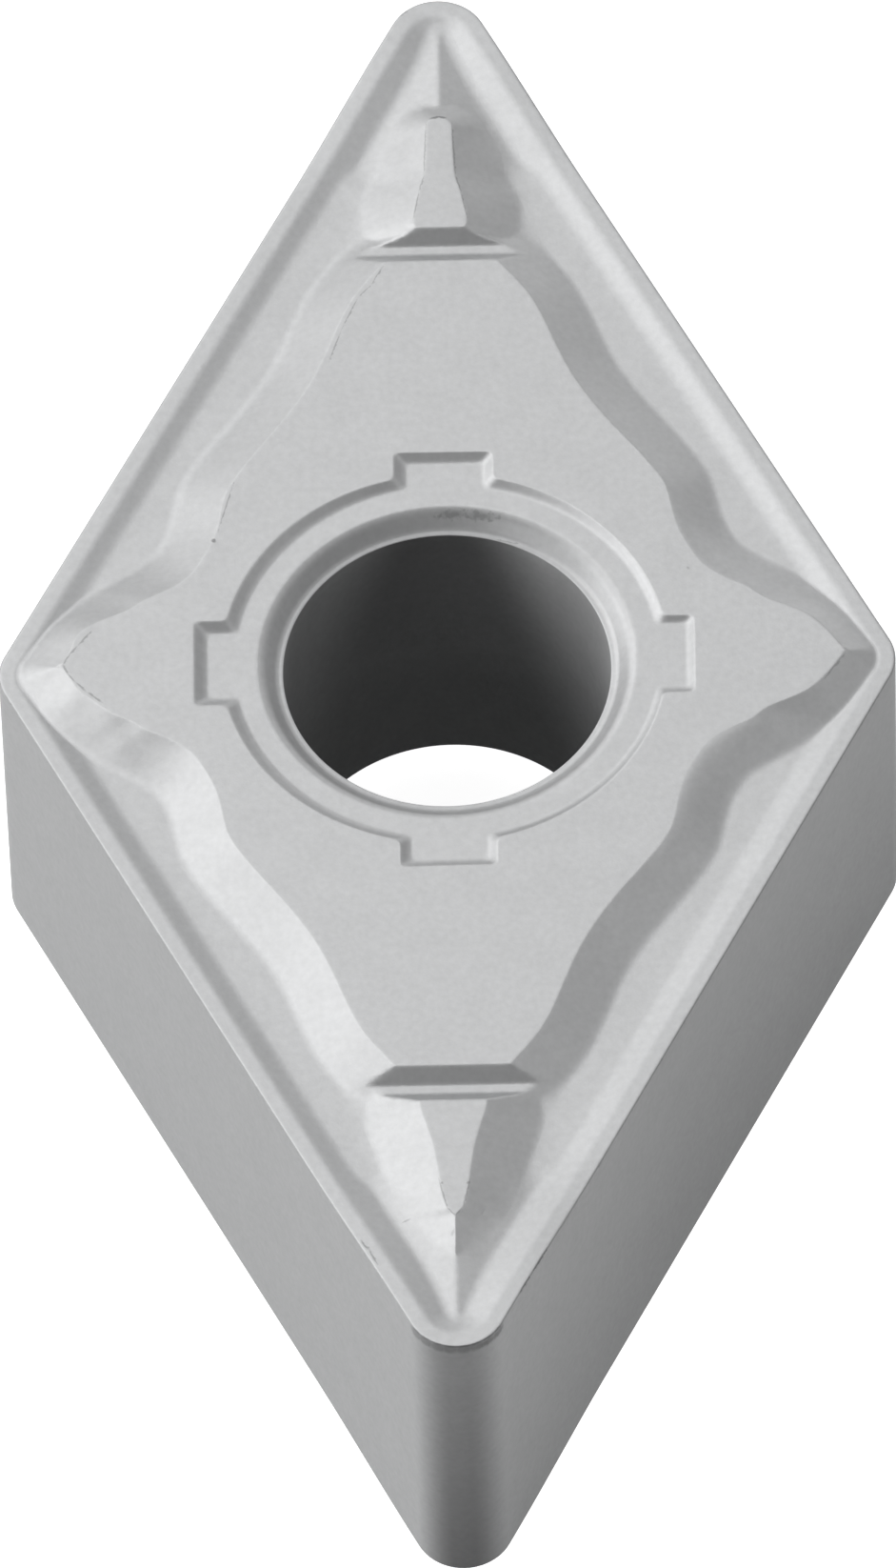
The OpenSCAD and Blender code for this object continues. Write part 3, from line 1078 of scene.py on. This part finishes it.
@dataclass
class WholeInsert:
    """The insert, made from a far and a near quarter of a face by mirroring them."""

    blank: Blank
    merge_gap: float = 0.0001
    box_fit: float = 0.99999
    lift: MouthLift = MouthLift()
    differences: tuple[HandDifference, ...] = (
        HandDifference("Left star tip", (-6.02, 0, 0), 0.76, (0.2, 0, 0)),
        HandDifference("Right star tip", (6.16, 0, 0), 0.88, (0.03, 0, 0)),
        HandDifference("Left star side", (-5.65, -0.62, 0), 0.6, (0.03, 0.13, 0)),
    )

    def tree(self, finish: bpy.types.Material) -> bpy.types.NodeTree:
        """Build the tree that makes the closed insert of two quarters.

        Args:
            finish: Material of the insert.

        Returns:
            The geometry tree, whose named inputs hold the sizes.
        """
        tree = bpy.data.node_groups.new("insert_from_quarters", "GeometryNodeTree")
        sockets = tree.interface.new_socket
        sockets("Far quarter", in_out="INPUT", socket_type="NodeSocketGeometry")
        sockets("Near quarter", in_out="INPUT", socket_type="NodeSocketObject")
        for size in ("Half height", "Merge gap", "Lift", "Lift along x", "Lift along y"):
            sockets(size, in_out="INPUT", socket_type="NodeSocketFloat")
        for difference in self.differences:
            sockets(difference.name, in_out="INPUT", socket_type="NodeSocketVector")
        sockets("Insert", in_out="OUTPUT", socket_type="NodeSocketGeometry")
        nodes = NodeTree(tree)
        given = nodes.add("NodeGroupInput").outputs
        near = {"Object": given["Near quarter"]}
        near = nodes.add("GeometryNodeObjectInfo", None, near).outputs["Geometry"]
        shape = self.with_mirrored(nodes, given["Far quarter"], near, (1, -1, 1))
        shape = self.with_mirrored(nodes, shape, shape, (-1, 1, 1))
        shape = self.with_mirrored(nodes, shape, shape, (1, 1, -1))
        shape = nodes.geometry("MergeByDistance", shape, {"Distance": given["Merge gap"]})
        for difference in self.differences:
            shape = self.differ(nodes, shape, difference, given[difference.name])
        shape = self.lift_mouth(nodes, shape, given)
        lift = nodes.add("ShaderNodeCombineXYZ", None, {"Z": given["Half height"]}).outputs[0]
        shape = nodes.geometry("Transform", shape, {"Translation": lift})
        shape = nodes.geometry("SetShadeSmooth", shape)
        shape = nodes.geometry("RealizeInstances", shape)
        shape = nodes.geometry("SetMaterial", shape, {"Material": finish})
        nodes.add("NodeGroupOutput", None, {"Insert": shape})
        return tree

    def with_mirrored(self, nodes: NodeTree, kept: Socket, turned: Socket,
                      scale: Point) -> Socket:
        """Join a shape with another one, mirrored.

        Args:
            nodes: The tree.
            kept: Geometry that stays as it is.
            turned: Geometry to mirror.
            scale: Sign of each axis.

        Returns:
            The joined geometry, whose faces all look outward.
        """
        turned = nodes.geometry("Transform", turned, {"Scale": scale})
        flipped = nodes.geometry("FlipFaces", turned)
        joined = nodes.add("GeometryNodeJoinGeometry", None, {"Geometry": kept})
        nodes.tree.links.new(flipped, joined.inputs[0])
        return joined.outputs[0]

    def lift_mouth(self, nodes: NodeTree, shape: Socket, given: Sockets) -> Socket:
        """Raise the recess and the hole mouth and grind the boss flat again.

        Args:
            nodes: The tree.
            shape: Geometry to change.
            given: Sockets of the tree's inputs.

        Returns:
            The changed geometry.
        """
        place = nodes.add("GeometryNodeInputPosition").outputs[0]
        x, y, z = nodes.split(place)
        lift = nodes.maths("MULTIPLY_ADD", x, given["Lift along x"], given["Lift"])
        lift = nodes.maths("MULTIPLY_ADD", y, given["Lift along y"], lift)
        lift = nodes.maths("MAXIMUM", lift, 0.0)
        away = nodes.length(nodes.vector("MULTIPLY", place, (1, 1, 0)))
        fade = nodes.ramp(away, self.lift.fade, 1.0, 0.0, smooth=True)
        outward = nodes.maths("MULTIPLY", fade, nodes.maths("SIGN", z))
        z = nodes.maths("MULTIPLY_ADD", lift, outward, z)
        z = nodes.maths("MINIMUM", z, given["Half height"])
        z = nodes.maths("MAXIMUM", z, nodes.maths("MULTIPLY", given["Half height"], -1.0))
        moved = nodes.add("ShaderNodeCombineXYZ", None, {0: x, 1: y, 2: z}).outputs[0]
        return nodes.geometry("SetPosition", shape, {"Position": moved})

    def differ(self, nodes: NodeTree, shape: Socket, difference: HandDifference,
               shift: Socket) -> Socket:
        """Shift the surface near one place, fading out with distance.

        Args:
            nodes: The tree.
            shape: Geometry to change.
            difference: Where, and how far the change reaches.
            shift: Socket that holds the shift.

        Returns:
            The changed geometry.
        """
        place = nodes.add("GeometryNodeInputPosition").outputs[0]
        level = nodes.vector("MULTIPLY", place, (1, 1, 0))
        middle = tuple(c * MM for c in difference.middle)
        away = nodes.length(nodes.vector("SUBTRACT", level, middle))
        fade = nodes.ramp(away, (0.0, difference.radius), 1.0, 0.0, smooth=True)
        return nodes.geometry("SetPosition", shape, {"Offset": nodes.scaled(shift, fade)})

    def build(self, far: bpy.types.Object, near: bpy.types.Object,
              finish: bpy.types.Material) -> bpy.types.Object:
        """Turn the quarters into the closed insert, as a plain mesh.

        Args:
            far: Object with the mesh of a quarter at the far nose, which is used up.
            near: The same for the near nose, not yet mirrored.
            finish: Material of the insert.

        Returns:
            The finished piece.
        """
        tree = self.tree(finish)
        modifier = far.modifiers.new("insert", "NODES")
        modifier.node_group = tree
        sizes = {"Half height": self.blank.boss_half * MM, "Merge gap": self.merge_gap * MM,
                 "Near quarter": near, "Lift": self.lift.mean * MM,
                 "Lift along x": self.lift.along_x, "Lift along y": self.lift.along_y}
        for difference in self.differences:
            sizes[difference.name] = [c * MM for c in difference.shift]
        for item in tree.interface.items_tree:
            if item.in_out == "INPUT" and item.name in sizes:
                modifier[item.identifier] = sizes[item.name]
        graph = bpy.context.evaluated_depsgraph_get()
        data = bpy.data.meshes.new_from_object(far.evaluated_get(graph))
        for quarter in (far, near):
            bpy.data.objects.remove(quarter)
        data.name = "carbide_insert"
        mesh = bmesh.new()
        mesh.from_mesh(data)
        self.fit_box(mesh)
        bmesh.ops.recalc_face_normals(mesh, faces=mesh.faces)
        open_edges = sum(not e.is_manifold for e in mesh.edges)
        log.info("insert: %d triangles, %d open edges, %.1f mm3",
                 len(mesh.faces), open_edges, mesh.calc_volume() / MM**3)
        mesh.to_mesh(data)
        mesh.free()
        return put("carbide_insert", data)

    def fit_box(self, mesh: bmesh.types.BMesh) -> None:
        """Draw the plan in by a hair where it would stand out of the box of the insert.

        Args:
            mesh: The closed insert.
        """
        _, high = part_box("insert")
        own = [max(v.co[axis] for v in mesh.verts) for axis in (0, 1)]
        fit = [min(1.0, high[axis] * self.box_fit / own[axis]) for axis in (0, 1)]
        bmesh.ops.scale(mesh, vec=(*fit, 1), verts=mesh.verts)


@dataclass(frozen=True)
class Mark:
    """A line, nick or stain of the upper face, drawn through places of its plan."""

    name: str
    places: Knots
    width: float
    darkness: float
    ragged: float = 0.6
    below: float = 0.0


MARKS = (
    Mark("outline of left star tip", ((-5.6, 0.64), (-5.8, 0.38), (-5.95, 0.2), (-6.03, 0.03),
                                      (-5.97, -0.14), (-5.84, -0.3), (-5.66, -0.5), (-5.4, -0.72)),
         0.03, 0.32, 0.7),
    Mark("outline of right star tip", ((6.25, -0.07), (5.9, -0.56)), 0.025, 0.25),
    Mark("burr at upper left of boss", ((-0.91, 7.59), (-1.11, 7.21), (-1.33, 6.96),
                                        (-1.58, 6.39), (-1.81, 5.71)), 0.022, 0.3, 0.9),
    Mark("burr at left of boss", ((-3.33, 3.43), (-3.59, 2.47)), 0.022, 0.3, 0.8),
    Mark("far finger, left", ((-0.21, 10.3), (-0.25, 9.32), (-0.33, 9.02), (-0.425, 8.5)),
         0.02, 0.3, 0.5),
    Mark("far finger, right", ((0.21, 10.3), (0.25, 9.32), (0.33, 9.02), (0.425, 8.5)),
         0.02, 0.3, 0.5),
    Mark("far finger, tip", ((-0.12, 10.44), (0.0, 10.47), (0.1, 10.45)), 0.028, 0.5, 0.2),
    Mark("near finger, tip", ((-0.24, -9.8), (-0.12, -10.3), (0.0, -10.44), (0.12, -10.3),
                              (0.24, -9.8)), 0.02, 0.3, 0.4),
    Mark("speck on near finger, left", ((-0.2, -9.85), (-0.19, -9.84)), 0.028, 0.3, 0.3),
    Mark("speck on near finger, right", ((0.2, -9.85), (0.21, -9.84)), 0.028, 0.3, 0.3),
    Mark("nick on near ridge", ((-0.05, -10.76), (-0.03, -10.7)), 0.03, 0.2, 0.2),
    Mark("scratch beside near finger", ((-0.81, -10.41), (-0.71, -10.365)), 0.022, 0.25, 0.2),
    Mark("speck at left of boss", ((-3.653, 2.343), (-3.64, 2.33)), 0.045, 0.5, 0.2),
    Mark("speck at right of boss", ((3.82, 1.63), (3.83, 1.62)), 0.03, 0.2, 0.2),
    Mark("wear on land", ((-1.455, -10.80), (-1.34, -10.965), (-1.21, -11.25)), 0.03, 0.35, 0.6),
    Mark("worn right edge", ((1.42, -10.98), (1.16, -11.48), (0.98, -11.83)), 0.024, 0.35, 0.6),
    Mark("worn far edge", ((-0.64, 12.5), (-0.49, 12.62)), 0.04, 0.3),
    # Painted shade: the dark line that a small chamfer shows just under the near nose edge.
    Mark("line under near nose", ((-0.69, -12.42), (-0.57, -12.58), (-0.4, -12.71), (-0.21, -12.79),
                                  (0.0, -12.817), (0.21, -12.79), (0.4, -12.71), (0.57, -12.58),
                                  (0.69, -12.42)), 0.035, 0.3, 0.2, 0.05),
    Mark("wear under near nose", ((0.36, -12.73), (0.69, -12.42)), 0.08, 0.25, 0.5, 0.1),
    Mark("rough bevel", ((-0.1, 2.86), (0.35, 2.85), (0.8, 2.76)), 0.13, 0.3, 1.0),
    Mark("nicks in rim", ((0.72, 2.5), (1.17, 2.38)), 0.025, 0.25, 0.9),
    Mark("stain below left star tip", ((-5.12, -1.1), (-4.9, -1.86)), 0.22, 0.05, 0.2),
)


@dataclass
class WearAndShadeMarks:
    """Shader nodes that darken the marks of the upper face: wear, stains and a painted shade line.
    """

    marks: Sequence[Mark]
    relief: Callable[[float, float], float]
    overlap: float = 0.75
    height_reach: float = 0.15
    tear: float = 0.04
    gain: float = 2.2
    noise_scale: float = 14000.0
    noise_detail: float = 2.0
    gap_contrast: float = 4.0
    gap_level: float = -1.2

    def stroke(self, nodes: NodeTree, place: Socket, start: Point, end: Point,
               width: float) -> Socket:
        """Say how near a place lies to a straight stroke.

        Args:
            nodes: The material's tree.
            place: Object coordinates.
            start: One end of the stroke.
            end: Its other end.
            width: Half its width.

        Returns:
            Nearness, 1 in the middle of the stroke and 0 outside it.
        """
        reach = Vector(end) - Vector(start)
        middle = (Vector(start) + Vector(end)) / 2
        half = self.overlap * reach.length + width
        turned = nodes.add("ShaderNodeMapping", {"vector_type": "TEXTURE"}, {
            "Vector": place, "Location": middle * MM,
            "Rotation": (0, 0, math.atan2(reach.y, reach.x)),
            "Scale": (half * MM, width * MM, self.height_reach * MM)}).outputs[0]
        oval = {"gradient_type": "SPHERICAL"}
        return nodes.add("ShaderNodeTexGradient", oval, {"Vector": turned}).outputs["Fac"]

    def darken(self, nodes: NodeTree, place: Socket, shade: Socket) -> Socket:
        """Darken a shade where the marks lie.

        Args:
            nodes: The material's tree.
            place: Object coordinates.
            shade: The shade without marks.

        Returns:
            The shade with the marks.
        """
        noise = nodes.noise(place, self.noise_scale, self.noise_detail)
        tear = self.tear * MM
        torn = nodes.vector("ADD", place, (-tear / 2, -tear / 2, 0))
        torn = nodes.vector("MULTIPLY_ADD", noise["Color"], (tear, tear, 0), torn)
        gaps = nodes.maths("MULTIPLY_ADD", noise[0], self.gap_contrast, self.gap_level, clamp=True)
        for mark in self.marks:
            points = [(x, y, self.relief(x, y) - mark.below) for x, y in mark.places]
            near = 0.0
            for start, end in zip(points, points[1:]):
                stroke = self.stroke(nodes, torn, start, end, mark.width)
                near = nodes.maths("MAXIMUM", stroke, near)
            near = nodes.maths("MULTIPLY", near, self.gain)
            broken = nodes.maths("MULTIPLY_ADD", gaps, -mark.ragged, near, clamp=True)
            lighter = nodes.maths("MULTIPLY_ADD", broken, -mark.darkness, 1.0)
            shade = nodes.maths("MULTIPLY", shade, lighter)
        return shade


@dataclass(frozen=True)
class SatinCarbide:
    """Satin grey of sintered carbide, duller on the flanks and in the hole.

    A shade is a factor for the colour, a gain adds to it, and a metal is the share of
    metal in the finish. Part of the shading is painted into the colour: painted shade
    darkens the flanks towards their foot and at the right, the nose rounds and the far
    wall of the hole, and a painted highlight makes the bevel palest at the right. A pair
    of numbers is where a passage from one shade to another starts and ends: in
    millimetres across the insert or down the hole, or as a share of the way to the
    middle of the nose.
    """

    colour: Point = (0.60, 0.605, 0.61)
    base_shade: float = 0.86
    mottle_scale: float = 1500.0
    mottle_gain: float = 0.09
    speckle_scale: float = 9000.0
    speckle_gain: float = 0.19
    noise_detail: float = 3.0
    roughness: float = 0.42
    grain_roughness: float = 0.06
    grain_scale: float = 26000.0
    grain_height: float = 0.0012
    mouth_metal: float = 0.55
    flank_metal: float = 0.3
    bore_metal: float = 0.0
    sides: Reach = (-1.0, 1.0)
    flank_shade: float = 0.72
    flank_top: float = 6.0
    # Painted shade on the flanks: darker towards the foot, more at the right, further right and on
    # the nose rounds.
    left_foot_shade: float = 0.97
    right_foot_shade: float = 0.82
    far_right_shade: float = 0.9
    far_right_reach: Reach = (1.0, 3.5)
    nose_top_shade: float = 0.58
    nose_foot_shade: float = 0.35
    nose_reach: Reach = (0.0, 0.85)
    # Painted highlight and shade on the bevel: palest at the right, darker at the back and towards
    # the ends.
    bevel_reach: float = 2.8
    bevel_gain: float = 0.13
    bevel_right_gain: float = 0.05
    bevel_back_gain: float = -0.08
    bevel_ends_gain: float = -0.2
    bore_shade: float = 0.8
    # Painted shade in the hole: darkest near the top of its far wall, lighter on its sides, the
    # right more than the left.
    bore_top: float = 6.2
    bore_depth: Reach = (0.0, 3.0)
    bore_dark_top: float = 0.27
    bore_dark_foot: float = 0.55
    bore_dark_at: float = -0.12
    bore_dark_reach: Reach = (0.35, 1.7)
    bore_dark_flare: float = 0.25
    bore_left_shade: float = 0.68
    bore_right_shade: float = 0.9

    def by_zone(self, nodes: NodeTree, zones: Sequence[Socket],
                levels: dict[Zone, float]) -> Socket:
        """Give a value that is 1 on the faces and has another level in each zone.

        Args:
            nodes: The material's tree.
            zones: Share of each zone.
            levels: Level of each zone that differs from the faces.

        Returns:
            The value.
        """
        value = 1.0
        for zone, level in levels.items():
            value = nodes.maths("MULTIPLY_ADD", zones[zone.value], level - 1, value)
        return value

    def flank_painted_shade(self, nodes: NodeTree, place: Socket, flank: Socket) -> Socket:
        """Paint shade on the flanks: towards the foot, at the right and on the nose rounds.

        Args:
            nodes: The material's tree.
            place: Object coordinates.
            flank: Share of the flank zone.

        Returns:
            Factor for the shade.
        """
        x, _, z = nodes.split(place)
        right = nodes.ramp(x, self.sides)
        low = nodes.maths("MULTIPLY", nodes.ramp(z, (self.flank_top, 0.0)), flank)
        foot = nodes.maths("MULTIPLY_ADD", right, self.right_foot_shade - self.left_foot_shade,
                           self.left_foot_shade - 1)
        sides = nodes.maths("MULTIPLY_ADD", low, foot, 1.0)
        away = nodes.maths("MULTIPLY", nodes.ramp(x, self.far_right_reach), flank)
        away = nodes.maths("MULTIPLY_ADD", away, self.far_right_shade - 1, 1.0)
        turn = nodes.add("ShaderNodeAttribute", {"attribute_name": NOSE_ATTRIBUTE}).outputs["Fac"]
        turn = nodes.ramp(turn, self.nose_reach, smooth=True, unit=1.0)
        nose = nodes.maths("MULTIPLY_ADD", low, self.nose_foot_shade - self.nose_top_shade,
                           self.nose_top_shade - 1)
        nose = nodes.maths("MULTIPLY_ADD", turn, nose, 1.0)
        return nodes.maths("MULTIPLY", nodes.maths("MULTIPLY", sides, away), nose)

    def bevel_painted_light(self, nodes: NodeTree, place: Socket, mouth: Socket) -> Socket:
        """Paint light and shade on the bevel: palest at the right, darkest at the back.

        Args:
            nodes: The material's tree.
            place: Object coordinates.
            mouth: Share of the mouth zone.

        Returns:
            Factor for the shade.
        """
        x, y, _ = nodes.split(place)
        ends = nodes.maths("ABSOLUTE", y)
        reach = self.bevel_reach * MM
        painted_fall = nodes.maths("MULTIPLY_ADD", x, self.bevel_right_gain / reach, self.bevel_gain)
        painted_fall = nodes.maths("MULTIPLY_ADD", y, self.bevel_back_gain / reach, painted_fall)
        painted_fall = nodes.maths("MULTIPLY_ADD", ends, self.bevel_ends_gain / reach, painted_fall)
        return nodes.maths("MULTIPLY_ADD", painted_fall, mouth, 1.0)

    def bore_painted_shade(self, nodes: NodeTree, place: Socket, bore: Socket) -> Socket:
        """Paint shade into the hole, darkest on its far wall and lightest on its right side.

        Args:
            nodes: The material's tree.
            place: Object coordinates.
            bore: Share of the bore zone.

        Returns:
            Factor for the shade.
        """
        x, _, z = nodes.split(place)
        depth = nodes.maths("SUBTRACT", self.bore_top * MM, z)
        aside = nodes.maths("ABSOLUTE", nodes.maths("SUBTRACT", x, self.bore_dark_at * MM))
        aside = nodes.maths("MULTIPLY_ADD", depth, -self.bore_dark_flare, aside)
        side = nodes.ramp(aside, self.bore_dark_reach, smooth=True)
        darker = nodes.ramp(depth, self.bore_depth, self.bore_dark_top, self.bore_dark_foot)
        pale = nodes.ramp(x, self.sides, self.bore_left_shade, self.bore_right_shade)
        painted_fall = nodes.add("ShaderNodeMix", None, {0: side, 2: darker, 3: pale}).outputs[0]
        return nodes.maths("MULTIPLY_ADD", nodes.maths("SUBTRACT", painted_fall, 1.0), bore, 1.0)

    def material(self, marks: WearAndShadeMarks) -> bpy.types.Material:
        """Build the material of the insert.

        Args:
            marks: Marks of the upper face.

        Returns:
            A node material that reads Object coordinates and the zone attributes.
        """
        material = bpy.data.materials.new("satin_carbide")
        material.use_nodes = True
        nodes = NodeTree(material.node_tree)
        place = nodes.add("ShaderNodeTexCoord").outputs["Object"]
        zone = nodes.add("ShaderNodeAttribute", {"attribute_name": ZONE_ATTRIBUTE})
        zones = nodes.split(zone.outputs["Vector"])
        mottle, speckle, grain = (
            nodes.noise(place, scale, self.noise_detail)[0]
            for scale in (self.mottle_scale, self.speckle_scale, self.grain_scale))
        shade = nodes.maths("MULTIPLY_ADD", mottle, self.mottle_gain, self.base_shade)
        shade = nodes.maths("MULTIPLY_ADD", speckle, self.speckle_gain, shade)
        darker = {Zone.FLANK: self.flank_shade, Zone.BORE: self.bore_shade}
        shade = nodes.maths("MULTIPLY", shade, self.by_zone(nodes, zones, darker))
        # Painted shade and light on the flanks, the nose rounds, the bevel and in the hole.
        painted_falls = {Zone.BORE: self.bore_painted_shade, Zone.MOUTH: self.bevel_painted_light,
                 Zone.FLANK: self.flank_painted_shade}
        for where, painted_fall in painted_falls.items():
            shade = nodes.maths("MULTIPLY", shade, painted_fall(nodes, place, zones[where.value]))
        shade = marks.darken(nodes, place, shade)
        metal = {Zone.FLANK: self.flank_metal, Zone.MOUTH: self.mouth_metal,
                 Zone.BORE: self.bore_metal}
        bump = nodes.add("ShaderNodeBump", None, {
            "Height": grain, "Distance": self.grain_height * MM, "Strength": 1.0})
        nodes.feed(material.node_tree.nodes["Principled BSDF"], {
            "Base Color": nodes.scaled(self.colour, shade),
            "Metallic": self.by_zone(nodes, zones, metal),
            "Roughness": nodes.maths("MULTIPLY_ADD", grain, self.grain_roughness,
                                     self.roughness - self.grain_roughness / 2),
            "Specular IOR Level": 0.0,
            "Normal": bump.outputs[0]})
        return material


@dataclass(frozen=True)
class Lamp:
    """A soft box that points at the insert: its direction in degrees and its power."""

    name: str
    azimuth: float
    elevation: float
    power: float


@dataclass
class Studio:
    """Pale floor, soft lamps and the camera."""

    floor_size: float = 2.0
    floor_colour: float = 0.8
    floor_glow: float = 0.9
    world_level: float = 0.29
    lamp_size: float = 0.36
    lamp_distance: float = 0.5
    lamps: tuple[Lamp, ...] = (
        Lamp("left_low", 170, 15, 0.64),
        Lamp("left_high", 170, 50, 0.39),
        Lamp("front_left", 222, 20, 0.32),
        Lamp("back_left", 125, 25, 0.27),
        Lamp("back_left_high", 115, 60, 0.39),
        Lamp("back", 78, 20, 0.18),
        Lamp("back_right", 40, 20, 0.05),
        Lamp("right_high", 15, 60, 0.12),
    )
    photo_size: tuple[int, int] = (941, 1646)
    focal_px: float = 25408.7
    azimuth: float = 0.88168
    elevation: float = 55.907
    roll: float = -1.92227
    target: Point = (-0.0125, -2.2362, 6.35)
    distance: float = 379.215
    clip_start: float = 10.0

    def lay_floor(self) -> None:
        """Lay a pale floor that takes the shadow of the insert."""
        half = self.floor_size / 2
        data = bpy.data.meshes.new("floor")
        corners = [(-half, -half, 0), (half, -half, 0), (half, half, 0), (-half, half, 0)]
        data.from_pydata(corners, [], [(0, 1, 2, 3)])
        material = bpy.data.materials.new("pale_floor")
        material.use_nodes = True
        nodes = NodeTree(material.node_tree)
        material.node_tree.nodes.remove(material.node_tree.nodes["Principled BSDF"])
        matt = nodes.add("ShaderNodeBsdfDiffuse", None, {"Color": (*[self.floor_colour] * 3, 1)})
        rays = nodes.add("ShaderNodeLightPath").outputs
        seen = nodes.maths("ADD", rays["Is Camera Ray"], rays["Is Glossy Ray"])
        seen = nodes.maths("ADD", seen, rays["Is Transmission Ray"], clamp=True)
        glow = nodes.add("ShaderNodeEmission", None, {
            "Color": (1, 1, 1, 1), "Strength": nodes.maths("MULTIPLY", seen, self.floor_glow)})
        both = nodes.add("ShaderNodeAddShader", None, {0: matt.outputs[0], 1: glow.outputs[0]})
        nodes.feed(material.node_tree.nodes["Material Output"], {"Surface": both.outputs[0]})
        data.materials.append(material)
        put("floor", data)

    def light(self) -> None:
        """Hang the lamps and set the level of the world."""
        for lamp in self.lamps:
            data = bpy.data.lights.new(lamp.name, "AREA")
            data.shape = "SQUARE"
            data.size = self.lamp_size
            data.energy = lamp.power
            azimuth, elevation = math.radians(lamp.azimuth), math.radians(lamp.elevation)
            away = Vector((math.cos(azimuth) * math.cos(elevation),
                           math.sin(azimuth) * math.cos(elevation), math.sin(elevation)))
            put(lamp.name, data).matrix_world = (
                Matrix.Translation(away * self.lamp_distance)
                @ away.to_track_quat("Z", "Y").to_matrix().to_4x4())
        world = bpy.data.worlds.new("studio")
        world.use_nodes = True
        background = world.node_tree.nodes["Background"]
        background.inputs["Color"].default_value = (1, 1, 1, 1)
        background.inputs["Strength"].default_value = self.world_level
        bpy.context.scene.world = world

    def place_camera(self) -> None:
        """Put the camera where the photograph was taken from."""
        az, el, roll = (math.radians(a) for a in (self.azimuth, self.elevation, self.roll))
        back = Vector((math.sin(az) * math.cos(el), -math.cos(az) * math.cos(el), math.sin(el)))
        right = Vector((math.cos(az), math.sin(az), 0))
        up = back.cross(right)
        right, up = (math.cos(roll) * right + math.sin(roll) * up,
                     math.cos(roll) * up - math.sin(roll) * right)
        data = bpy.data.cameras.new("camera")
        data.lens = self.focal_px * data.sensor_width / max(self.photo_size)
        data.clip_start = self.clip_start * MM
        camera = put("camera", data)
        turn = Matrix((right, up, back)).transposed().to_4x4()
        place = (Vector(self.target) + back * self.distance) * MM
        camera.matrix_world = Matrix.Translation(place) @ turn
        bpy.context.scene.camera = camera

    def build(self) -> None:
        """Set up the whole studio."""
        self.lay_floor()
        self.light()
        self.place_camera()
        bpy.context.scene.view_settings.view_transform = "Standard"


def main() -> None:
    """Build the insert and the studio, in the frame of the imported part."""
    logging.basicConfig(level=logging.INFO, format="%(name)s: %(message)s")
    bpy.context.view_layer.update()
    bore = next(m for m in frame["record"]["mounts"] if m["name"] == "bore")
    blank = Blank()
    mouth = HoleMouth(hole_r=bore["dims"]["r_mm"])
    far = FaceQuarter("far_quarter", blank, ChipGroove(blank, FAR_FINGER), mouth, Notch(blank))
    near_groove = ChipGroove(
        blank, NEAR_FINGER, ridge_angle=NEAR_RIDGE_ANGLE, v_round=NEAR_V_ROUND)
    near = FaceQuarter("near_quarter", blank, near_groove, mouth, Notch(blank))

    def relief(x: float, y: float) -> float:
        """Give the height of the upper face above the floor."""
        quarter = far if y > 0 else near
        return float(blank.boss_half + quarter.height(np.array([abs(x)]), np.array([abs(y)]))[0])

    finish = SatinCarbide().material(WearAndShadeMarks(MARKS, relief))
    piece = WholeInsert(blank).build(far.build(), near.build(), finish)
    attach(piece, "root")
    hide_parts("insert")
    Studio().build()


if __name__ == "__main__":
    main()
